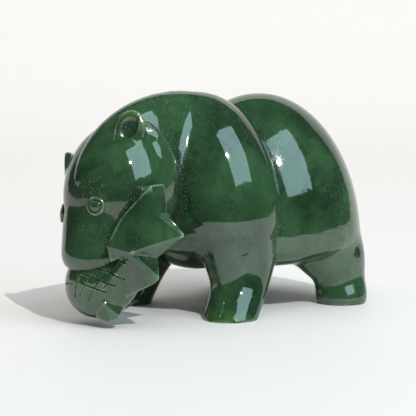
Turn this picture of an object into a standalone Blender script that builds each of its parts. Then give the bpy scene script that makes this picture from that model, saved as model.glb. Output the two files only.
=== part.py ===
import math

import bmesh
import bpy
from mathutils import Matrix, Vector

# Driving sizes in metres
HUMP_HEIGHT = 0.078  # floor to the top of the shoulder hump
BLEND_VOXEL = 0.0011  # grain of the soft masses
CARVE_VOXEL = 0.0006  # grain of the joined body, fine enough for its creases
TRIANGLES = 8000  # budget of the body before its grooves are cut
WELD = 0.00005  # points closer than this are one

NAME = "bear_with_salmon"

# The carving is a free form: every place and radius is a share of the hump height
UNIT = HUMP_HEIGHT / 100

# Masses of the body: centre, radii, depth below the centre, fullness of the dome and of the plan
SHOULDERS = ((-21.7, 0, 45), (33, 42.5, 53.7), 17, 2.0, 2.0)
CHEST = ((-21, 0, 45), (32, 29, 40), 27, 2.0, 2.0)
CROWN = ((-34.3, 0, 58.8), (59.5, 24, 40.8), 6, 2.0, 2.0)
CHEEK = ((-65, -8.5, 59), (14, 15.5, 26), 30, 2.0, 2.0)
RUMP = ((13.8, 0, 30), (53.5, 46, 67.6), 12, 2.0, 2.3)
SKULL = ((-71, 0, 52), (22.5, 23, 31), 28, 2.0, 2.0)

# Legs and muzzle from top to bottom: place, half length, half width
FORE_LEG = (
    (-21, 18, 46, 24, 20),
    (-21.5, 25, 34, 22, 17),
    (-24, 29.5, 25.5, 19.7, 14.5),
    (-26, 32, 19, 17, 13.2),
    (-27.5, 33.5, 13.5, 14, 12.2),
    (-31, 34.3, 7, 13.2, 12.3),
    (-33.8, 34.5, 2.5, 13.4, 12.3),
    (-34.8, 34.5, 0, 12.8, 12),
    (-34.8, 34.5, -3, 11.6, 11.2),
)
HIND_LEG = (
    (33, 22, 40, 22, 18),
    (34, 28, 27, 23, 18),
    (33.5, 31, 19, 19.5, 15.5),
    (35.5, 33, 13, 15.5, 12.8),
    (38, 34, 9.6, 12.2, 11.6),
    (38, 34.3, 7.5, 12.4, 12.4),
    (38, 34.5, 3, 12.8, 12.6),
    (38, 34.5, 0, 12, 11.8),
    (38, 34.5, -3, 10.8, 10.8),
)
MUZZLE = (
    (-69, 0, 62, 22, 23),
    (-73, 0, 46, 22.5, 22),
    (-77.6, -0.5, 36, 19.2, 19.5),
    (-81.5, -1.5, 29, 17, 19),
    (-84, -1.5, 25, 13.5, 15.5),
    (-84.5, -1, 22.5, 9, 10),
)

# Folds of the neck from the ears down, and the salmon from its tail root to its nose:
# place, half height, half thickness
RUFF = (
    ((-66, -10, 88), 3.2, 3.2),
    ((-60.5, -14, 83.5), 3.2, 3.2),
    ((-58, -18, 77), 3.2, 3.2),
    ((-57.5, -20, 71), 3.2, 3.2),
    ((-57.5, -20.5, 64), 3.2, 3.2),
    ((-54, -18.5, 53), 3, 3),
    ((-50, -14, 42), 2.4, 2.4),
)
SALMON = (
    ((-76, -24, 44), 4, 3),
    ((-78, -23, 37.5), 6, 3.6),
    ((-80.4, -19.9, 28.7), 8.5, 5.5),
    ((-84.3, -15.3, 20.3), 12.5, 9),
    ((-86.8, -7.8, 17), 15, 10.5),
    ((-86, 2.2, 17), 14.5, 10.5),
    ((-83.2, 8.2, 17.5), 11.5, 9),
    ((-80.8, 12.6, 17.5), 5, 4),
)
# Corner points of its tail lobes and lower fins
TAIL_UPPER = (
    (-82.2, -34.5, 62.5), (-79.7, -35.2, 50.4), (-88.4, -29.6, 33.4), (-86, -17.5, 37.2), (-82, -20.5, 48),
    (-68.2, -28.5, 61.8), (-68.1, -30, 49.1), (-79, -19, 52), (-80, -18, 36), (-73, -20, 58),
)
TAIL_LOWER = (
    (-79.7, -35.2, 50.4), (-65.1, -38, 39.7), (-88.4, -29.6, 33.4), (-72.8, -30, 30.7),
    (-68.1, -30, 49.1), (-79, -19, 50), (-84, -20, 36), (-70, -22, 40), (-78, -22, 32),
)
REAR_FIN = (
    (-88.2, -29.6, 33.2), (-77.5, -36, 21.3), (-78.8, -34, 20.1), (-86.6, -23, 13.3), (-89.3, -20, 30),
    (-91.8, -18.3, 21), (-72.5, -29.5, 30), (-76, -20, 28), (-76, -26, 20), (-84, -18, 16),
)
FRONT_FIN = (
    (-93.3, -16.5, 12), (-85, -21.3, 12.2), (-88, -22.3, 5.4), (-89.5, -18.3, 2.9), (-90.8, -14.8, 2.5),
    (-92, -9.5, 5), (-85, -9, 12), (-83, -13, 12), (-83, -9, 6),
)

# Ears and eyes, near and far: centre, the way each faces, and the ears' lean in degrees
EARS = (
    ((-73.8, -11, 84), (-0.8, -0.55, 0.2), -20),
    ((-80.5, 21.5, 64.5), (-0.7, 0.7, -0.05), 0),
)
EAR = ((7.6, 9, 0.9), 6, 2.0, 2.0)
EAR_HOLLOW = ((4.4, 6.2, 2.8), 2.8, 2.0, 2.0)
HOLLOW_OFFSET = (0, 1, 0.6)
EYES = (
    ((-91.3, -9.7, 52.3), (-0.9, -0.43, 0.05)),
    ((-87, 17, 47), (-0.73, 0.66, 0.1)),
)
EYE_BULGE = ((4.2, 4.2, 1.1), 3, 2.0, 2.0)
EYE_RING = (2.6, 0.6)
EYE_RISE = 0.75
GILL = ((-96.2, -4.7, 26), (-95.7, -1, 12.6))
GILL_WIDTH = 1.2


def make_active(obj):
    bpy.ops.object.select_all(action="DESELECT")
    obj.select_set(True)
    bpy.context.view_layer.objects.active = obj


def apply_modifiers(obj):
    make_active(obj)
    for modifier in list(obj.modifiers):
        bpy.ops.object.modifier_apply(modifier=modifier.name)


def to_object(name, bm):
    bmesh.ops.recalc_face_normals(bm, faces=bm.faces)
    mesh = bpy.data.meshes.new(name)
    bm.to_mesh(mesh)
    bm.free()
    obj = bpy.data.objects.new(name, mesh)
    bpy.context.scene.collection.objects.link(obj)
    return obj


def facing_turn(facing, lean=0):
    """Turns local Z to the facing, and leans the piece round it by degrees."""
    turn = Vector(facing).to_track_quat("Z", "Y").to_matrix()
    return turn @ Matrix.Rotation(math.radians(lean), 3, "Z")


def egg(name, centre, radii, under, full, square, facing=(0, 0, 1), lean=0, sides=64):
    """Ball with its own depth below the centre, its own fullness above and its own plan."""
    bm = bmesh.new()
    bmesh.ops.create_uvsphere(bm, u_segments=sides, v_segments=sides // 2, radius=1)
    for vert in bm.verts:
        height = abs(vert.co.z)
        reach = math.hypot(vert.co.x, vert.co.y)
        if vert.co.z > 0 and reach > 1e-6:
            grow = (1 - height**full) ** (1 / full) / reach
            vert.co.x *= grow
            vert.co.y *= grow
            reach = math.hypot(vert.co.x, vert.co.y)
        if reach > 1e-6:
            across = (abs(vert.co.x / reach) ** square + abs(vert.co.y / reach) ** square) ** (-1 / square)
            vert.co.x *= across
            vert.co.y *= across
        drop = radii[2] if vert.co.z > 0 else under
        vert.co = Vector((vert.co.x * radii[0], vert.co.y * radii[1], vert.co.z * drop))
    place = Matrix.Translation(centre) @ facing_turn(facing, lean).to_4x4()
    bm.transform(Matrix.Scale(UNIT, 4) @ place)
    return to_object(name, bm)


def loft(name, rings, sides=16, levels=2):
    """Skin over rings given as centre, two half sizes and their two directions."""
    bm = bmesh.new()
    loops = []
    for centre, half_a, half_b, axis_a, axis_b in rings:
        loop = []
        for k in range(sides):
            angle = 2 * math.pi * k / sides
            offset = Vector(axis_a) * half_a * math.cos(angle) + Vector(axis_b) * half_b * math.sin(angle)
            loop.append(bm.verts.new((Vector(centre) + offset) * UNIT))
        loops.append(loop)
    for low, high in zip(loops, loops[1:]):
        for k in range(sides):
            bm.faces.new((low[k], low[(k + 1) % sides], high[(k + 1) % sides], high[k]))
    bm.faces.new(list(reversed(loops[0])))
    bm.faces.new(loops[-1])
    obj = to_object(name, bm)
    soften = obj.modifiers.new("Soften", "SUBSURF")
    soften.levels = levels
    soften.render_levels = levels
    apply_modifiers(obj)
    return obj


def post(name, rings, side=1):
    """Upright loft of level oval rings."""
    return loft(name, [((x, side * y, z), a, b, (1, 0, 0), (0, 1, 0)) for x, y, z, a, b in rings])


def spine(name, rings, side=1):
    """Loft along a curved line, its rings square to the line."""
    rings = [((x, side * y, z), height, thick) for (x, y, z), height, thick in rings]
    out = []
    for k, (centre, height, thick) in enumerate(rings):
        before = Vector(rings[max(k - 1, 0)][0])
        after = Vector(rings[min(k + 1, len(rings) - 1)][0])
        along = (after - before).normalized()
        up = (Vector((0, 0, 1)) - along * along.z).normalized()
        out.append((centre, height, thick, up, along.cross(up)))
    return loft(name, out)


def shift(ear):
    """Middle of an ear's hollow, above the middle of the ear."""
    return Vector(ear[0]) + facing_turn(*ear[1:]) @ Vector(HOLLOW_OFFSET)


def hull(name, points):
    """Faceted block round a few corner points."""
    bm = bmesh.new()
    for point in points:
        bm.verts.new(Vector(point) * UNIT)
    bmesh.ops.convex_hull(bm, input=bm.verts)
    return to_object(name, bm)


def merge(name, pieces, voxel, rounds):
    """One skin over several masses, the joints between them softened."""
    make_active(pieces[0])
    for piece in pieces:
        piece.select_set(True)
    bpy.ops.object.join()
    obj = pieces[0]
    obj.name = name
    skin = obj.modifiers.new("Skin", "REMESH")
    skin.mode = "VOXEL"
    skin.voxel_size = voxel
    soften = obj.modifiers.new("Soften", "SMOOTH")
    soften.factor = 0.5
    soften.iterations = rounds
    apply_modifiers(obj)
    return obj


def ring_cutter(name, centre, facing):
    """Round groove, sunk to its middle in the surface at the centre."""
    bpy.ops.mesh.primitive_torus_add(
        major_radius=EYE_RING[0] * UNIT,
        minor_radius=EYE_RING[1] * UNIT,
        major_segments=28,
        minor_segments=10,
    )
    ring = bpy.context.object
    ring.name = name
    turn = facing_turn(facing).to_4x4()
    middle = Vector(centre) + Vector(facing).normalized() * EYE_RISE
    ring.data.transform(Matrix.Translation(middle * UNIT) @ turn)
    return ring


def rod_cutter(name, start, end, width):
    """Straight groove between two places on the surface."""
    span = (Vector(end) - Vector(start)) * UNIT
    bpy.ops.mesh.primitive_cylinder_add(vertices=12, radius=width * UNIT / 2, depth=span.length)
    rod = bpy.context.object
    rod.name = name
    turn = span.to_track_quat("Z", "Y").to_matrix().to_4x4()
    rod.data.transform(Matrix.Translation((Vector(start) + Vector(end)) * UNIT / 2) @ turn)
    return rod


def build_body():
    shoulders = egg("shoulders", *SHOULDERS)
    crown = egg("crown", *CROWN)
    chest = egg("chest", *CHEST)
    fore_legs = [post("fore_leg", FORE_LEG, side) for side in (-1, 1)]
    ruffs = [spine("ruff", RUFF, side) for side in (1, -1)]
    fore = merge("fore", [shoulders, crown, chest] + fore_legs, BLEND_VOXEL, 14)
    rump = egg("rump", *RUMP)
    hind_legs = [post("hind_leg", HIND_LEG, side) for side in (-1, 1)]
    hind = merge("hind", [rump] + hind_legs, BLEND_VOXEL, 14)
    skull = egg("skull", *SKULL)
    cheeks = [egg("cheek", (CHEEK[0][0], side * CHEEK[0][1], CHEEK[0][2]), *CHEEK[1:]) for side in (1, -1)]
    head = merge("head", [skull, post("muzzle", MUZZLE)] + cheeks + ruffs, BLEND_VOXEL, 7)
    details = [spine("salmon", SALMON)]
    details += [hull("fin", points) for points in (TAIL_UPPER, TAIL_LOWER, REAR_FIN, FRONT_FIN)]
    details += [egg("ear", centre, *EAR, facing, lean) for centre, facing, lean in EARS]
    details += [egg("eye", centre, *EYE_BULGE, facing) for centre, facing in EYES]
    return merge(NAME, [fore, hind, head] + details, CARVE_VOXEL, 3)


def thin_out(obj):
    """Fewer, larger triangles, and soles cut flat on the floor."""
    fewer = obj.modifiers.new("Fewer", "DECIMATE")
    fewer.ratio = TRIANGLES / (2 * len(obj.data.polygons))
    fewer.use_collapse_triangulate = True
    apply_modifiers(obj)
    bm = bmesh.new()
    bm.from_mesh(obj.data)
    everything = bm.verts[:] + bm.edges[:] + bm.faces[:]
    cut = bmesh.ops.bisect_plane(
        bm, geom=everything, dist=WELD, plane_co=(0, 0, 0), plane_no=(0, 0, 1), clear_inner=True
    )
    rim = [item for item in cut["geom_cut"] if isinstance(item, bmesh.types.BMEdge)]
    bmesh.ops.holes_fill(bm, edges=rim)
    bmesh.ops.remove_doubles(bm, verts=bm.verts, dist=WELD)
    bm.to_mesh(obj.data)
    bm.free()


def centre_on_floor(obj, others):
    """Middle of the outline over the origin, and the cutters moved with it."""
    places = [vert.co for vert in obj.data.vertices]
    middle = [(min(p[k] for p in places) + max(p[k] for p in places)) / 2 for k in (0, 1)]
    move = Matrix.Translation((-middle[0], -middle[1], 0))
    for item in [obj] + others:
        item.data.transform(move)


def new_collection(name, objects):
    collection = bpy.data.collections.new(name)
    bpy.context.scene.collection.children.link(collection)
    for obj in objects:
        for old in list(obj.users_collection):
            old.objects.unlink(obj)
        collection.objects.link(obj)


def jade():
    material = bpy.data.materials.new("jade")
    material.use_nodes = True
    shader = material.node_tree.nodes["Principled BSDF"]
    shader.inputs["Base Color"].default_value = (0.02, 0.085, 0.032, 1)
    shader.inputs["Roughness"].default_value = 0.08
    shader.inputs["Metallic"].default_value = 0
    return material


def main():
    for old in list(bpy.data.objects):
        bpy.data.objects.remove(old)
    body = build_body()
    thin_out(body)
    cutters = [egg(f"ear_hollow_{k}", shift(ear), *EAR_HOLLOW, *ear[1:], 24) for k, ear in enumerate(EARS)]
    cutters += [ring_cutter(f"eye_ring_{k}", *eye) for k, eye in enumerate(EYES)]
    cutters.append(rod_cutter("gill", *GILL, GILL_WIDTH))
    centre_on_floor(body, cutters)
    for cutter in cutters:
        cutter.hide_render = True
        cutter.display_type = "WIRE"
        carve = body.modifiers.new(cutter.name, "BOOLEAN")
        carve.operation = "DIFFERENCE"
        carve.object = cutter
    body.data.materials.clear()
    body.data.materials.append(jade())
    body.data.shade_smooth()
    new_collection("jade_bear", [body])
    new_collection("cutters", cutters)


main()
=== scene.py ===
import math

import bmesh
import bpy
from mathutils import Matrix, Vector
from mathutils.bvhtree import BVHTree


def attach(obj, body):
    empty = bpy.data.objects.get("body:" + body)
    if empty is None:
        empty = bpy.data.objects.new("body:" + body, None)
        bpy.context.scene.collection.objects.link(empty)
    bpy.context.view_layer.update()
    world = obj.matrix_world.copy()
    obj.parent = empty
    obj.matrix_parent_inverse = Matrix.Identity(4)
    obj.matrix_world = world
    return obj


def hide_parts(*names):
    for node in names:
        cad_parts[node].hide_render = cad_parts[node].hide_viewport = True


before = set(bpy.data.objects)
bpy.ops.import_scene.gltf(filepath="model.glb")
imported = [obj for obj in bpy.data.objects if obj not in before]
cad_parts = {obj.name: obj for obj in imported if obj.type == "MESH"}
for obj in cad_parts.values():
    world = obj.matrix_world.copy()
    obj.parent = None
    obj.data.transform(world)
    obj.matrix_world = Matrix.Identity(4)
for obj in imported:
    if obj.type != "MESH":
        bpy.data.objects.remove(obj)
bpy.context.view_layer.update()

bl_info = {
    "name": "Jade Bear with Salmon",
    "version": (1, 0, 0),
    "blender": (4, 5, 0),
    "location": "3D View > Sidebar > Jade Bear",
    "description": "Carves and polishes a jade bear that holds a salmon",
    "category": "Add Mesh",
}

NODE = "bear_with_salmon"

# Places and radii are hundredths of the hump height, from the middle of the four feet.
# Masses: middle, radii, depth below the middle, and the way the top points if it leans
SHOULDERS = ((-21.7, 0, 40), (33, 43, 58.7), 17)
CHEST = ((-21, 0, 45), (32, 29, 40), 27)
CROWN = ((-34.3, 0, 58.8), (59.5, 18.5, 40.8), 6)
CHEEK = ((-61, -10.5, 59.5), (13.5, 14, 24), 22)
RUMP = ((19.9, 0, 30), (47, 45.7, 66.8), 12.8, (-0.05, 0, 1))
SKULL = ((-68, 0, 56), (25, 25.3, 31.5), 32, (0.17, 0, 1))

# Legs and muzzle from top to bottom: place, half length, half width
FORE_LEG = (
    (-21, 18, 46, 24, 20),
    (-21.5, 25, 34, 22, 17),
    (-24, 29.5, 25.5, 19.7, 14.5),
    (-26, 32, 19, 17, 13.2),
    (-27.5, 33.5, 13.5, 14, 12.2),
    (-31, 34.3, 7, 13.2, 12.3),
    (-33.8, 34.5, 2.5, 13.4, 12.3),
    (-34.8, 34.5, 0, 12.8, 12),
    (-34.8, 34.5, -3, 11.6, 11.2),
)
HIND_LEG = (
    (33, 22, 40, 22, 18),
    (33.5, 27, 27, 22, 17),
    (33.5, 31, 19, 19.5, 15.5),
    (35.5, 33, 13, 15.5, 12.8),
    (38, 34, 9.6, 12.2, 11.6),
    (38, 34.3, 7.5, 12.4, 12.4),
    (38, 34.5, 3, 12.8, 12.6),
    (38, 34.5, 0, 12, 11.8),
    (38, 34.5, -3, 10.8, 10.8),
)
# How far each ring of the left legs is tucked in under the body, and which way
TUCK_WAY = (0.7, 0.71)
FORE_TUCK = (0, 2.4, 5, 6.4, 6.6, 4.4, 2.4, 0.6, 0)
HIND_TUCK = (0, 1, 2.6, 3.6, 2.6, 1.2, 0, 0, 0)
MUZZLE = (
    (-69, 0, 62, 22, 23),
    (-73, 0, 46, 22.5, 22),
    (-77.6, -0.5, 36, 19.2, 19.5),
    (-81.5, -1.5, 29, 17, 19),
    (-84, -1.5, 25, 13.5, 15.5),
    (-84.5, -1, 22.5, 9, 10),
)

# Neck folds and salmon: place, half height, half thickness
RUFF = (
    ((-66, -10, 88), 2.4, 2.4),
    ((-60.5, -13.6, 83.5), 2.4, 2.4),
    ((-58, -17.4, 77), 2.4, 2.4),
    ((-57.3, -19.2, 71), 2.4, 2.4),
    ((-57, -19.6, 64), 2.4, 2.4),
    ((-54, -18, 53), 2.2, 2.2),
    ((-50, -14, 42), 1.8, 1.8),
)
SALMON = (
    ((-76, -24, 44), 4, 3),
    ((-78, -23, 37.5), 6, 3.6),
    ((-80.4, -19.9, 28.7), 8.5, 5.5),
    ((-84.3, -15.3, 20.3), 12.5, 9),
    ((-86.8, -7.8, 17), 15, 10.5),
    ((-86, 2.2, 17), 14.5, 10.5),
    ((-83.2, 8.2, 17.5), 11.5, 9),
    ((-80.8, 12.6, 17.5), 5, 4),
)
# Corners of the salmon's tail lobes and lower fins
TAIL_UPPER = (
    (-78.7, -30.9, 62), (-76.9, -32.4, 50), (-88.4, -29.6, 33.4), (-94, -19.2, 36), (-89.3, -23.2, 48),
    (-92, -19.5, 29), (-68.2, -28.5, 61.8), (-68.1, -30, 49.1), (-79, -19, 52), (-80, -18, 36),
    (-73, -20, 58),
)
TAIL_LOWER = (
    (-76.9, -32.4, 50), (-65.1, -38, 39.7), (-88.4, -29.6, 33.4), (-72.8, -30, 30.7),
    (-68.1, -30, 49.1), (-79, -19, 50), (-84, -20, 36), (-70, -22, 40), (-78, -22, 32),
)
REAR_FIN = (
    (-88.2, -29.6, 33.2), (-77.5, -36, 21.3), (-78.8, -34, 20.1), (-86.6, -23, 13.3), (-89.3, -20, 30),
    (-91.8, -18.3, 21), (-72.5, -29.5, 30), (-76, -20, 28), (-76, -26, 20), (-84, -18, 16),
)
FRONT_FIN = (
    (-93.3, -16.5, 12), (-83.4, -19.7, 12.2), (-86.4, -20.7, 5.4), (-89.7, -18.5, 2.9),
    (-90.8, -14.8, 2.5),
    (-92, -9.5, 5), (-85, -9, 12), (-83, -13, 12), (-83, -9, 6),
)

# Ears and eyes, left and right: middle, the way each faces, and the ears' lean in degrees
EARS = (
    ((-73.8, -11, 84), (-0.8, -0.55, 0.2), -20),
    ((-80.5, 21.5, 64.5), (-0.7, 0.7, -0.05), 0),
)
EAR = ((7.6, 9, 0.9), 6)
EAR_HOLLOW = ((4.2, 5.9, 1.9), 1.9)
HOLLOW_OFFSET = (0, 1, 0.6)
EYES = (
    ((-91.3, -9.7, 52.3), (-0.9, -0.43, 0.05)),
    ((-87, 17, 47), (-0.73, 0.66, 0.1)),
)
EYE_BULGE = ((4.2, 4.2, 1.1), 3)
EYE_RISE = 0.75

# Lines cut into the salmon's side, in two sets that cross each other
LINES_ALONG = (
    ((-89.1, -16.9, 30.8), (-88.8, -26.6, 28.9)),
    ((-93.5, -12.0, 26.4), (-90.6, -18.6, 24.4), (-88.1, -24.6, 22.0)),
    ((-95.4, -4.2, 23.9), (-93.6, -13, 21.4), (-89.9, -20.5, 18.9)),
    ((-96.1, -3.4, 20.1), (-95, -10.4, 18.2), (-92.2, -17.1, 16.2)),
)
LINES_ACROSS = (
    ((-84.2, -23.1, 31.7), (-90.5, -21.3, 25.3), (-93.0, -16.3, 17.7)),
    ((-89.8, -18.1, 27.1), (-94.8, -12.6, 17.8)),
    ((-93.8, -12.3, 24.5), (-95.8, -8.8, 19.7)),
    ((-95.9, -8.1, 18.8), (-95.8, -4.4, 13.5)),
    ((-94.8, -12.2, 16.7), (-94.8, -8.4, 11.6)),
)
MOUTH_LINE = (((-93.9, 6.9, 17.7), (-96.0, -0.2, 18.6)),)
GILL_LINE = (((-96.4, -4.7, 26), (-96.1, -3.3, 20), (-95.7, -1, 12.6)),)

# Thin raised rim of the left ear, from its front end over the top to the neck fold
EAR_RIM = (
    (-80.0, -9.1, 79.4), (-78.6, -7.7, 82.3), (-77.2, -7.0, 84.8), (-76.3, -7.1, 87.3),
    (-75.1, -7.8, 89.7), (-73.4, -9.5, 91.4), (-71.4, -11.8, 92.1), (-69.0, -13.4, 90.6),
    (-66.6, -14.0, 87.7), (-63.8, -14.9, 85.4), (-61.7, -16.4, 84.2),
)

# Smoothing rounds of each joint: the bear's on the reference grain, the salmon's on its own
REFERENCE_GRAIN = 0.0011
TORSO_ROUNDS = 18
FORE_LEG_ROUNDS = 12
HIND_LEG_ROUNDS = 24
HEAD_ROUNDS = 7
EAR_ROUNDS = 2
SALMON_ROUNDS = 24
TAIL_ROUNDS = 5

# Facets round a big mass, a small one, a hollow and a loft's ring
BIG_SIDES = 128
SMALL_SIDES = 64
HOLLOW_SIDES = 48
RING_SIDES = 16
# Steps between two places of a thin line
LINE_STEPS = 6

# Marks on the finished surface, lengths in metres. Stone thinner than THIN_STONE is thin.
THIN_STONE = 0.012
THIN_REACH = 0.02
# Where rays meet more stone within this reach, the surface is shut in
NOOK_REACH = 0.018
NOOK_RAYS = 8
# Rays start this far under the surface, or above it
UNDER_SKIN = 2e-5
ABOVE_SKIN = 5e-5
# Outward bend that counts as fully sharp, one over its radius
SHARP_BEND = 1500
# Rounds in which the marks are evened out
EDGE_ROUNDS = 3
SHADE_ROUNDS = 4
# Facets that meet at less than this look smooth
CARVING_SMOOTH = math.radians(38)
SWEEP_SMOOTH = math.radians(30)

# Where the middle of the four feet stands in the solid's own frame
FEET_MIDDLE = Vector((0.011825, 0, 0))

# The viewing angle: turn to the left of the bear's side, and height above the horizon
VIEW_TURN = math.radians(44.4)
VIEW_HEIGHT = math.radians(5.9)
# The view's middle, rightward and upward from the feet
VIEW_MIDDLE = (-10.6, 43.94)
# Width, focal length and scale of the picture, in pixels, and width of the sensor, in mm
PICTURE_WIDTH = 416
LENS_PIXELS = 2000
PIXELS_PER_UNIT = 2.16
SENSOR_WIDTH = 36

# The sweep, in metres: its near edge, where its bend starts, the bend's radius, its top, its width
SWEEP_NEAR = -0.45
SWEEP_FLAT = 0.75
SWEEP_BEND = 0.45
SWEEP_TOP = 1.15
SWEEP_WIDTH = 2.6
SWEEP_STEPS = 16
# The way the sunlight travels
SUN_WAY = (0.34, 1.06, -1.05)


def piece_sizes():
    return bpy.context.scene.bear_sizes


def unit():
    """One hundredth of the hump height, in metres."""
    return piece_sizes().hump_height / 100


def only(*objects):
    """Object mode, with just these objects selected and the first one active."""
    if bpy.context.object and bpy.context.object.mode != "OBJECT":
        bpy.ops.object.mode_set(mode="OBJECT")
    bpy.ops.object.select_all(action="DESELECT")
    for obj in objects:
        obj.select_set(True)
    bpy.context.view_layer.objects.active = objects[0]


def apply_modifiers(obj):
    only(obj)
    for modifier in list(obj.modifiers):
        bpy.ops.object.modifier_apply(modifier=modifier.name)


def put_in_place(obj, matrix):
    """Moves the piece and writes its place into its mesh."""
    obj.matrix_world = matrix
    only(obj)
    bpy.ops.object.transform_apply(location=True, rotation=True, scale=True)


def facing_matrix(centre, facing, lean=0):
    """Place of a piece whose top points along facing, turned about it by lean degrees."""
    turn = Vector(facing).to_track_quat("Z", "Y").to_matrix().to_4x4()
    roll = Matrix.Rotation(math.radians(lean), 4, "Z")
    return Matrix.Translation(Vector(centre) * unit()) @ turn @ roll


def ball(name, centre, radii, under, facing=(0, 0, 1), lean=0, sides=BIG_SIDES):
    """Round mass: a sphere drawn to its radii, with its lower half drawn to its own depth."""
    bpy.ops.mesh.primitive_uv_sphere_add(segments=sides, ring_count=sides // 2, radius=1)
    obj = bpy.context.object
    obj.name = name
    bpy.ops.object.mode_set(mode="EDIT")
    mesh = bmesh.from_edit_mesh(obj.data)
    bpy.ops.mesh.select_all(action="DESELECT")
    for vert in mesh.verts:
        vert.select_set(vert.co.z < 0.001)
    bpy.ops.transform.resize(value=(1, 1, under / radii[2]), center_override=(0, 0, 0))
    bpy.ops.object.mode_set(mode="OBJECT")
    scale = Matrix.Diagonal((*[r * unit() for r in radii], 1))
    put_in_place(obj, facing_matrix(centre, facing, lean) @ scale)
    return obj


def loft(name, rings):
    """Skin bridged over rings given as middle, two half sizes and their directions."""
    loops = []
    for centre, half_a, half_b, axis_a, axis_b in rings:
        bpy.ops.mesh.primitive_circle_add(vertices=RING_SIDES, radius=1)
        loop = bpy.context.object
        axis_a, axis_b = Vector(axis_a), Vector(axis_b)
        axes = Matrix((axis_a * half_a, axis_b * half_b, axis_a.cross(axis_b))).transposed() * unit()
        put_in_place(loop, Matrix.Translation(Vector(centre) * unit()) @ axes.to_4x4())
        loops.append(loop)
    only(*loops)
    bpy.ops.object.join()
    obj = bpy.context.object
    obj.name = name
    bpy.ops.object.mode_set(mode="EDIT")
    bpy.ops.mesh.select_all(action="SELECT")
    bpy.ops.mesh.bridge_edge_loops()
    bpy.ops.mesh.select_all(action="SELECT")
    bpy.ops.mesh.fill_holes(sides=0)
    bpy.ops.mesh.select_all(action="SELECT")
    bpy.ops.mesh.normals_make_consistent(inside=False)
    bpy.ops.object.mode_set(mode="OBJECT")
    soften = obj.modifiers.new("Soften", "SUBSURF")
    soften.levels = 3
    soften.render_levels = 3
    apply_modifiers(obj)
    return obj


def post(name, rings, side=1):
    """Upright loft of level oval rings."""
    rings = [((x, side * y, z), a, b, (1, 0, 0), (0, 1, 0)) for x, y, z, a, b in rings]
    return loft(name, rings)


def tucked(rings, tucks):
    """Rings of a leg, each moved back and inward."""
    back, inward = TUCK_WAY
    return [
        (x + back * tuck, y - inward * tuck, z, a, b)
        for (x, y, z, a, b), tuck in zip(rings, tucks)
    ]


def spine(name, rings, side=1):
    """Loft along a curved line, its rings square to the line."""
    rings = [((x, side * y, z), height, thick) for (x, y, z), height, thick in rings]
    out = []
    for k, (centre, height, thick) in enumerate(rings):
        before = Vector(rings[max(k - 1, 0)][0])
        after = Vector(rings[min(k + 1, len(rings) - 1)][0])
        along = (after - before).normalized()
        up = (Vector((0, 0, 1)) - along * along.z).normalized()
        out.append((centre, height, thick, up, along.cross(up)))
    return loft(name, out)


def facet_block(name, corners):
    """Faceted block round its corners."""
    bpy.ops.mesh.primitive_plane_add(size=1)
    obj = bpy.context.object
    obj.name = name
    bpy.ops.object.mode_set(mode="EDIT")
    mesh = bmesh.from_edit_mesh(obj.data)
    bmesh.ops.delete(mesh, geom=mesh.verts[:], context="VERTS")
    for corner in corners:
        mesh.verts.new(Vector(corner) * unit())
    bmesh.update_edit_mesh(obj.data)
    bpy.ops.mesh.select_all(action="SELECT")
    bpy.ops.mesh.convex_hull()
    bpy.ops.object.mode_set(mode="OBJECT")
    return obj


def fuse(name, pieces, grain, rounds):
    """One skin over several masses, with the joints between them softened."""
    only(*pieces)
    if len(pieces) > 1:
        bpy.ops.object.join()
    obj = bpy.context.object
    obj.name = name
    skin = obj.modifiers.new("Skin", "REMESH")
    skin.mode = "VOXEL"
    skin.voxel_size = grain
    soften = obj.modifiers.new("Soften", "SMOOTH")
    soften.factor = 0.5
    soften.iterations = rounds
    apply_modifiers(obj)
    return obj


def combine(obj, other, how):
    """Joins the other piece to this one, or cuts it out, and uses it up."""
    carve = obj.modifiers.new("Carve", "BOOLEAN")
    carve.operation = how
    carve.object = other
    apply_modifiers(obj)
    bpy.data.objects.remove(other)


def rounds_for(count, grain):
    """Smoothing rounds that reach as far on this grain as count rounds do on the reference one."""
    return round(count * (REFERENCE_GRAIN / grain) ** 2)


def thread(name, obj, lines, radius):
    """Thin round strands laid on the surface of a piece through places near it."""
    curve = bpy.data.curves.new(name, "CURVE")
    curve.dimensions = "3D"
    curve.bevel_depth = radius
    curve.bevel_resolution = 2
    curve.use_fill_caps = True
    for line in lines:
        places = []
        for start, end in zip(line, line[1:]):
            start, end = Vector(start), Vector(end)
            places += [start.lerp(end, k / LINE_STEPS) * unit() for k in range(LINE_STEPS)]
        places.append(Vector(line[-1]) * unit())
        strand = curve.splines.new("POLY")
        strand.points.add(len(places) - 1)
        for point, place in zip(strand.points, places):
            point.co = (*obj.closest_point_on_mesh(place)[1], 1)
    threads = bpy.data.objects.new(name, curve)
    bpy.context.scene.collection.objects.link(threads)
    only(threads)
    bpy.ops.object.convert(target="MESH")
    bpy.ops.object.mode_set(mode="EDIT")
    bpy.ops.mesh.select_all(action="SELECT")
    bpy.ops.mesh.remove_doubles(threshold=1e-6)
    bpy.ops.mesh.normals_make_consistent(inside=False)
    bpy.ops.object.mode_set(mode="OBJECT")
    return threads


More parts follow.
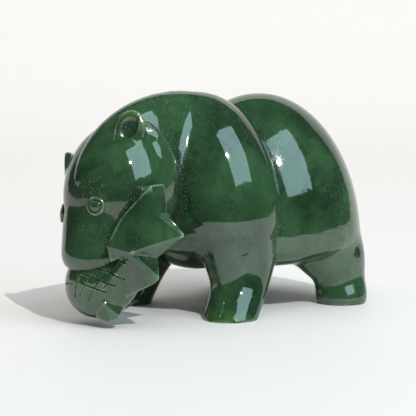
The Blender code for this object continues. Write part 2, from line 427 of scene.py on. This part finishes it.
def carve_masses():
    """Bear without its salmon: fused masses, legs, head, ears and eyes."""
    grain = piece_sizes().blend_grain
    fore_legs = [post("fore_leg", FORE_LEG), post("fore_leg", tucked(FORE_LEG, FORE_TUCK), -1)]
    torso = [ball("shoulders", *SHOULDERS), ball("crown", *CROWN), ball("chest", *CHEST)]
    torso = fuse("torso", torso, grain, rounds_for(TORSO_ROUNDS, grain))
    fore = fuse("fore", [torso] + fore_legs, grain, rounds_for(FORE_LEG_ROUNDS, grain))
    hind_legs = [post("hind_leg", HIND_LEG), post("hind_leg", tucked(HIND_LEG, HIND_TUCK), -1)]
    hind = [ball("rump", *RUMP)] + hind_legs
    hind = fuse("hind", hind, grain, rounds_for(HIND_LEG_ROUNDS, grain))
    head = [ball("skull", *SKULL), post("muzzle", MUZZLE)]
    for side in (1, -1):
        middle, *shape = CHEEK
        head.append(ball("cheek", (middle[0], side * middle[1], middle[2]), *shape))
        head.append(spine("ruff", RUFF, side))
    head = fuse("head", head, grain, rounds_for(HEAD_ROUNDS, grain))
    ears = [ball("ear", centre, *EAR, facing, lean, SMALL_SIDES) for centre, facing, lean in EARS]
    head = fuse("head", [head] + ears, grain, rounds_for(EAR_ROUNDS, grain))
    combine(fore, hind, "UNION")
    combine(fore, head, "UNION")
    for centre, facing in EYES:
        combine(fore, ball("eye", centre, *EYE_BULGE, facing, 0, SMALL_SIDES), "UNION")
    return fore


def carve_salmon():
    """Salmon with its tail and fins, its scale lines, mouth line and gill groove."""
    sizes = piece_sizes()
    tail_upper = facet_block("tail_upper", TAIL_UPPER)
    tail_lower = facet_block("tail_lower", TAIL_LOWER)
    rear_fin = facet_block("rear_fin", REAR_FIN)
    front_fin = facet_block("front_fin", FRONT_FIN)
    grain = sizes.salmon_grain
    fish = fuse("salmon", [spine("salmon", SALMON), rear_fin], grain, SALMON_ROUNDS)
    fish = fuse("salmon", [fish, tail_upper, tail_lower, front_fin], grain, TAIL_ROUNDS)
    for lines in (LINES_ALONG, LINES_ACROSS, MOUTH_LINE):
        combine(fish, thread("scale_lines", fish, lines, sizes.scale_line / 2), "DIFFERENCE")
    combine(fish, thread("gill", fish, GILL_LINE, sizes.gill_line / 2), "DIFFERENCE")
    return fish


def eye_ring(centre, facing):
    """Round groove, sunk to its middle in the eye."""
    sizes = piece_sizes()
    bpy.ops.mesh.primitive_torus_add(
        major_radius=sizes.eye_ring_radius,
        minor_radius=sizes.eye_ring_groove / 2,
        major_segments=64,
        minor_segments=16,
    )
    ring = bpy.context.object
    middle = Vector(centre) + Vector(facing).normalized() * EYE_RISE
    put_in_place(ring, facing_matrix(middle, facing))
    return ring


def cut_details(bear):
    """Left ear's rim, both ears' hollows and the ring round each eye."""
    combine(bear, thread("ear_rim", bear, (EAR_RIM,), piece_sizes().ear_rim / 2), "UNION")
    for centre, facing, lean in EARS:
        middle = facing_matrix(centre, facing, lean) @ (Vector(HOLLOW_OFFSET) * unit())
        hollow = ball("hollow", middle / unit(), *EAR_HOLLOW, facing, lean, HOLLOW_SIDES)
        combine(bear, hollow, "DIFFERENCE")
    for eye in EYES:
        combine(bear, eye_ring(*eye), "DIFFERENCE")


def stand_on_floor(obj):
    """Soles cut flat on the floor, and the carving set over the middle of its feet."""
    only(obj)
    bpy.ops.object.mode_set(mode="EDIT")
    bpy.ops.mesh.select_all(action="SELECT")
    bpy.ops.mesh.bisect(
        plane_co=(0, 0, 0), plane_no=(0, 0, 1), use_fill=True, clear_inner=True, threshold=1e-6
    )
    bpy.ops.object.mode_set(mode="OBJECT")
    put_in_place(obj, Matrix.Translation(FEET_MIDDLE))


def round_directions(count):
    """Directions spread evenly over the upper half of a ball."""
    out = []
    for k in range(count):
        rise = (k + 0.5) / count
        turn = k * math.pi * (3 - math.sqrt(5))
        reach = math.sqrt(1 - rise**2)
        out.append(Vector((math.cos(turn) * reach, math.sin(turn) * reach, rise)))
    return out


def write_marks(mesh, name, values, rounds):
    """Writes a point attribute, evened out over its neighbours a few times."""
    for _ in range(rounds):
        totals = [0.0] * len(values)
        counts = [0] * len(values)
        for edge in mesh.edges:
            a, b = edge.vertices
            totals[a] += values[b]
            totals[b] += values[a]
            counts[a] += 1
            counts[b] += 1
        values = [
            (value + total / max(1, count)) / 2 for value, total, count in zip(values, totals, counts)
        ]
    mesh.attributes.new(name, "FLOAT", "POINT").data.foreach_set("value", values)


def mark_edges(obj):
    """Marks where the surface turns sharply outward, as at the ridges between facets.

    Inward turns count against it, so that the borders of a narrow groove come out unmarked.
    """
    mesh = obj.data
    values = [0.0] * len(mesh.vertices)
    counts = [0] * len(mesh.vertices)
    for edge in mesh.edges:
        a, b = (mesh.vertices[k] for k in edge.vertices)
        step = b.co - a.co
        bend = (b.normal - a.normal).dot(step) / max(step.length_squared, 1e-10)
        for vert in (a, b):
            values[vert.index] += max(-1, min(1, bend / SHARP_BEND))
            counts[vert.index] += 1
    values = [value / max(1, count) for value, count in zip(values, counts)]
    write_marks(mesh, "edge", values, EDGE_ROUNDS)


def mark_thin_and_nooks(obj):
    """Marks where the stone is thin, and where its surface is shut in."""
    mesh = obj.data
    places = [vert.co for vert in mesh.vertices]
    tree = BVHTree.FromPolygons(places, [face.vertices for face in mesh.polygons])
    directions = round_directions(NOOK_RAYS)
    thin, nook = [], []
    for vert in mesh.vertices:
        normal = vert.normal
        inside = tree.ray_cast(vert.co - normal * UNDER_SKIN, -normal, THIN_REACH)
        depth = inside[3] if inside[0] else THIN_REACH
        thin.append(1 - min(1, depth / THIN_STONE))
        turn = normal.to_track_quat("Z", "Y")
        start = vert.co + normal * ABOVE_SKIN
        hits = sum(1 for ray in directions if tree.ray_cast(start, turn @ ray, NOOK_REACH)[0])
        nook.append(hits / NOOK_RAYS)
    write_marks(mesh, "thin", thin, SHADE_ROUNDS)
    write_marks(mesh, "nook", nook, SHADE_ROUNDS)


class JADE_OT_carve_bear(bpy.types.Operator):
    """Carve the bear and its salmon as one piece"""

    bl_idname = "jade.carve_bear"
    bl_label = "Carve Bear with Salmon"

    def execute(self, context):
        bear = carve_masses()
        combine(bear, carve_salmon(), "UNION")
        cut_details(bear)
        stand_on_floor(bear)
        bear.name = "bear_with_salmon_carving"
        mark_edges(bear)
        mark_thin_and_nooks(bear)
        bear.data.materials.clear()
        bear.data.materials.append(polished_jade())
        only(bear)
        bpy.ops.object.shade_smooth_by_angle(angle=CARVING_SMOOTH)
        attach(bear, "root")
        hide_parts(NODE)
        return {"FINISHED"}


class Nodes:
    """Short names for the nodes of one material."""

    def __init__(self, material):
        material.use_nodes = True
        self.tree = material.node_tree

    def add(self, kind, **inputs):
        node = self.tree.nodes.new(kind)
        for name, value in inputs.items():
            self.set(node, name.replace("_", " "), value)
        return node

    def set(self, node, name, value):
        socket = node.inputs[name]
        if isinstance(value, bpy.types.NodeSocket):
            self.tree.links.new(value, socket)
        else:
            socket.default_value = value

    def noise(self, place, scale, detail, rough, twist=0):
        node = self.add(
            "ShaderNodeTexNoise",
            Vector=place,
            Scale=scale,
            Detail=detail,
            Roughness=rough,
            Distortion=twist,
        )
        return node.outputs["Fac"]

    def ramp(self, value, low, high):
        """0 below low, 1 above high, smooth between them."""
        node = self.add("ShaderNodeMapRange", Value=value)
        node.interpolation_type = "SMOOTHSTEP"
        node.inputs["From Min"].default_value = low
        node.inputs["From Max"].default_value = high
        return node.outputs["Result"]

    def math(self, how, a, b=0.0):
        node = self.tree.nodes.new("ShaderNodeMath")
        node.operation = how
        self.set(node, 0, a)
        self.set(node, 1, b)
        return node.outputs[0]

    def times(self, a, b):
        return self.math("MULTIPLY", a, b)

    def plus(self, *values):
        total = values[0]
        for value in values[1:]:
            total = self.math("ADD", total, value)
        return total

    def mix(self, share, a, b):
        node = self.tree.nodes.new("ShaderNodeMix")
        node.data_type = "RGBA"
        self.set(node, 0, share)
        self.set(node, 6, a)
        self.set(node, 7, b)
        return node.outputs[2]

    def flecks(self, place, scale, size):
        node = self.add("ShaderNodeTexVoronoi", Vector=place, Scale=scale)
        distance = node.outputs["Distance"]
        return self.math("SUBTRACT", 1.0, self.ramp(distance, size * 0.5, size))

    def attribute(self, name):
        node = self.tree.nodes.new("ShaderNodeAttribute")
        node.attribute_name = name
        return node.outputs["Fac"]


def polished_jade():
    """Mottled polished stone, paler at its sharp edges (partly worn, partly a painted highlight), with
    a painted glow where thin and painted shade where shut in.
    """
    colours = bpy.context.scene.jade_colours
    material = bpy.data.materials.new("polished_jade")
    n = Nodes(material)
    shader = n.tree.nodes["Principled BSDF"]
    place = n.tree.nodes.new("ShaderNodeTexCoord").outputs["Object"]
    nook = n.attribute("nook")

    clouds = n.ramp(n.noise(place, 42, 5, 0.55, 0.4), 0.36, 0.66)
    veins = n.ramp(n.noise(place, 170, 8, 0.7, 0.8), 0.38, 0.68)
    mottle = n.plus(n.times(clouds, 0.65), n.times(veins, 0.35))
    colour = n.mix(mottle, (*colours.deep_green, 1), (*colours.leaf_green, 1))

    # Painted glow: a brighter green where the stone is thin, standing in for light coming through it
    thin_patches = n.ramp(n.noise(place, 90, 4, 0.6), 0.36, 0.58)
    glow = n.times(n.ramp(n.attribute("thin"), 0.3, 0.85), thin_patches)
    colour = n.mix(n.times(glow, 0.5), colour, (*colours.painted_glow_green, 1))
    # Painted shade: a darker green mixed in where the surface is shut in, in folds and hollows
    colour = n.mix(n.times(n.ramp(nook, 0.2, 0.7), 0.8), colour, (*colours.painted_shade_green, 1))

    dust = n.ramp(n.noise(place, 55, 4, 0.6), 0.44, 0.68)
    dust = n.math("MAXIMUM", dust, n.ramp(nook, 0.15, 0.5))
    pale = n.times(n.flecks(place, 1500, 0.27), dust)
    colour = n.mix(n.times(pale, 0.55), colour, (*colours.pale_fleck, 1))

    # Sharp edges paler: partly worn, frosted stone, partly a painted highlight along the ridges
    edge_patches = n.ramp(n.noise(place, 220, 4, 0.6), 0.36, 0.6)
    worn_edge_and_highlight = n.times(n.ramp(n.attribute("edge"), 0.12, 0.4), edge_patches)
    colour = n.mix(n.times(worn_edge_and_highlight, 0.6), colour, (*colours.worn_and_highlight_green, 1))
    colour = n.mix(n.flecks(place, 95, 0.07), colour, (*colours.dark_fleck, 1))
    n.set(shader, "Base Color", colour)

    dull = n.plus(
        n.times(n.ramp(nook, 0.2, 0.6), 0.25),
        n.times(pale, 0.25),
        n.times(veins, 0.03),
        n.times(worn_edge_and_highlight, 0.2),
        0.035,
    )
    n.set(shader, "Roughness", dull)
    shader.inputs["IOR"].default_value = 1.85
    shader.inputs["Subsurface Weight"].default_value = 0.25
    shader.inputs["Subsurface Radius"].default_value = (0.4, 1.0, 0.45)
    shader.inputs["Subsurface Scale"].default_value = 0.003

    waves = n.noise(place, 75, 3, 0.5)
    pits = n.noise(place, 1500, 3, 0.6)
    height = n.plus(waves, n.times(pits, 0.02))
    bump = n.add("ShaderNodeBump", Strength=0.5, Distance=0.0004, Height=height)
    n.set(shader, "Normal", bump.outputs["Normal"])
    return material


def plain(name, colour, roughness):
    material = bpy.data.materials.new(name)
    material.use_nodes = True
    shader = material.node_tree.nodes["Principled BSDF"]
    shader.inputs["Base Color"].default_value = (*colour, 1)
    shader.inputs["Roughness"].default_value = roughness
    return material


def view_axes():
    """Rightward, upward and back towards the viewer."""
    right = Vector((math.cos(VIEW_TURN), -math.sin(VIEW_TURN), 0))
    level = math.cos(VIEW_HEIGHT)
    back = Vector(
        (-math.sin(VIEW_TURN) * level, -math.cos(VIEW_TURN) * level, math.sin(VIEW_HEIGHT))
    )
    return right, back.cross(right), back


def add_camera():
    right, up, back = view_axes()
    camera = bpy.data.objects.new("camera", bpy.data.cameras.new("camera"))
    bpy.context.scene.collection.objects.link(camera)
    across, above = VIEW_MIDDLE
    distance = LENS_PIXELS / PIXELS_PER_UNIT
    place = (right * across + up * above + back * distance) * unit() + FEET_MIDDLE
    matrix = Matrix((right, up, back)).transposed().to_4x4()
    matrix.translation = place
    camera.matrix_world = matrix
    camera.data.lens = SENSOR_WIDTH * LENS_PIXELS / PICTURE_WIDTH
    camera.data.sensor_width = SENSOR_WIDTH
    bpy.context.scene.camera = camera


def add_area(name, place, target, size, power, colour, mirrored=True):
    lamp = bpy.data.lights.new(name, "AREA")
    lamp.shape = "RECTANGLE"
    lamp.size, lamp.size_y = size
    lamp.energy = power
    lamp.color = colour
    obj = bpy.data.objects.new(name, lamp)
    bpy.context.scene.collection.objects.link(obj)
    obj.location = place
    obj.rotation_euler = (Vector(target) - Vector(place)).to_track_quat("-Z", "Y").to_euler()
    obj.visible_glossy = mirrored


def add_sweep(turn):
    """Pale floor that runs away from the viewer and curves up into its backdrop."""
    bpy.ops.mesh.primitive_plane_add(size=1)
    sweep = bpy.context.object
    sweep.name = "sweep"
    middle = (SWEEP_NEAR + SWEEP_FLAT) / 2
    size = Matrix.Diagonal((SWEEP_FLAT - SWEEP_NEAR, SWEEP_WIDTH, 1, 1))
    put_in_place(sweep, Matrix.Translation((middle, 0, 0)) @ size)
    only(sweep)
    bpy.ops.object.mode_set(mode="EDIT")
    mesh = bmesh.from_edit_mesh(sweep.data)
    bpy.ops.mesh.select_all(action="DESELECT")
    for edge in mesh.edges:
        edge.select_set(all(abs(vert.co.x - SWEEP_FLAT) < 1e-5 for vert in edge.verts))
    bpy.ops.mesh.select_mode(type="EDGE")
    angles = [math.pi / 2 * k / SWEEP_STEPS for k in range(SWEEP_STEPS + 1)]
    for low, high in zip(angles, angles[1:]):
        along = SWEEP_BEND * (math.sin(high) - math.sin(low))
        rise = SWEEP_BEND * (math.cos(low) - math.cos(high))
        bpy.ops.mesh.extrude_region_move(TRANSFORM_OT_translate={"value": (along, 0, rise)})
    bpy.ops.mesh.extrude_region_move(
        TRANSFORM_OT_translate={"value": (0, 0, SWEEP_TOP - SWEEP_BEND)}
    )
    bpy.ops.object.mode_set(mode="OBJECT")
    put_in_place(sweep, Matrix.Rotation(turn, 4, "Z"))
    bpy.ops.object.shade_smooth_by_angle(angle=SWEEP_SMOOTH)
    sweep.data.materials.append(plain("pale_floor", (0.8, 0.775, 0.765), 0.6))


def add_sun():
    sun = bpy.data.lights.new("sun", "SUN")
    sun.energy = 1.85
    sun.angle = math.radians(0.6)
    sun.color = (1.0, 0.98, 0.95)
    obj = bpy.data.objects.new("sun", sun)
    bpy.context.scene.collection.objects.link(obj)
    obj.rotation_euler = Vector(SUN_WAY).to_track_quat("-Z", "Y").to_euler()


class JADE_OT_set_stage(bpy.types.Operator):
    """Set the floor, the lights and the camera"""

    bl_idname = "jade.set_stage"
    bl_label = "Set Stage"

    def execute(self, context):
        bpy.ops.object.select_all(action="DESELECT")
        back = view_axes()[2]
        add_sweep(math.atan2(-back.y, -back.x))
        world = bpy.data.worlds.new("studio")
        context.scene.world = world
        world.use_nodes = True
        background = world.node_tree.nodes["Background"]
        background.inputs["Color"].default_value = (0.55, 0.65, 0.6, 1)
        background.inputs["Strength"].default_value = 0.12
        add_sun()
        add_area("window", (0.06, -0.78, 0.78), (0, 0, 0.05), (0.72, 0.9), 5.6, (0.62, 0.9, 1.0))
        add_area("ceiling", (0, 0, 1.6), (0, 0, 0), (2.4, 2.4), 20, (1.0, 0.975, 0.965), False)
        add_camera()
        context.scene.view_settings.view_transform = "Standard"
        return {"FINISHED"}


class BearSizes(bpy.types.PropertyGroup):
    hump_height: bpy.props.FloatProperty(
        name="Hump height",
        description="Floor to the top of the shoulder hump",
        default=0.078,
        unit="LENGTH",
    )
    blend_grain: bpy.props.FloatProperty(
        name="Blend grain",
        description="Grain of the soft masses",
        default=0.0009,
        unit="LENGTH",
    )
    salmon_grain: bpy.props.FloatProperty(
        name="Salmon grain",
        description="Grain of the salmon's crisper skin",
        default=0.00045,
        unit="LENGTH",
    )
    eye_ring_radius: bpy.props.FloatProperty(
        name="Eye ring",
        description="Radius of the drilled ring round each eye",
        default=0.00203,
        unit="LENGTH",
    )
    eye_ring_groove: bpy.props.FloatProperty(
        name="Eye groove",
        description="Width of the drilled ring",
        default=0.0009,
        unit="LENGTH",
    )
    ear_rim: bpy.props.FloatProperty(
        name="Ear rim",
        description="Width of the left ear's raised rim",
        default=0.0005,
        unit="LENGTH",
    )
    scale_line: bpy.props.FloatProperty(
        name="Scale line",
        description="Width of the lines cut into the salmon",
        default=0.00062,
        unit="LENGTH",
    )
    gill_line: bpy.props.FloatProperty(
        name="Gill line",
        description="Width of the salmon's gill groove",
        default=0.00094,
        unit="LENGTH",
    )


def colour_property(name, description, default):
    return bpy.props.FloatVectorProperty(
        name=name, description=description, default=default, size=3, min=0, max=1, subtype="COLOR"
    )


class JadeColours(bpy.types.PropertyGroup):
    deep_green: colour_property(
        "Deep green", "Darkest clouds of the stone", (0.007, 0.027, 0.01)
    )
    leaf_green: colour_property(
        "Leaf green", "Lightest clouds of the stone", (0.035, 0.1, 0.039)
    )
    # Sharp edges: partly worn stone, partly a painted highlight along the ridges
    worn_and_highlight_green: colour_property("Edge green", "Worn sharp edges and painted highlight", (0.3, 0.42, 0.25))
    # Painted glow where light comes through thin stone
    painted_glow_green: colour_property(
        "Thin green", "Colour where light comes through thin stone", (0.085, 0.2, 0.03)
    )
    # Painted shade, mixed in deep in the folds and hollows
    painted_shade_green: colour_property(
        "Painted shade green", "Colour deep in the folds", (0.004, 0.015, 0.006)
    )
    pale_fleck: colour_property("Pale fleck", "Fine grains in the stone", (0.3, 0.42, 0.32))
    dark_fleck: colour_property(
        "Dark fleck", "Few dark grains in the stone", (0.004, 0.006, 0.004)
    )


class JADE_PT_bear(bpy.types.Panel):
    """Sizes, colours and steps of the jade bear"""

    bl_idname = "JADE_PT_bear"
    bl_label = "Jade Bear"
    bl_space_type = "VIEW_3D"
    bl_region_type = "UI"
    bl_category = "Jade Bear"

    def draw(self, context):
        for group in (context.scene.bear_sizes, context.scene.jade_colours):
            for name in type(group).__annotations__:
                self.layout.prop(group, name)
        self.layout.operator("jade.carve_bear")
        self.layout.operator("jade.set_stage")


CLASSES = (BearSizes, JadeColours, JADE_OT_carve_bear, JADE_OT_set_stage, JADE_PT_bear)


def register():
    for cls in CLASSES:
        bpy.utils.register_class(cls)
    bpy.types.Scene.bear_sizes = bpy.props.PointerProperty(type=BearSizes)
    bpy.types.Scene.jade_colours = bpy.props.PointerProperty(type=JadeColours)


def unregister():
    del bpy.types.Scene.jade_colours
    del bpy.types.Scene.bear_sizes
    for cls in reversed(CLASSES):
        bpy.utils.unregister_class(cls)


def main():
    register()
    bpy.ops.jade.carve_bear()
    bpy.ops.jade.set_stage()


if __name__ == "__main__":
    main()
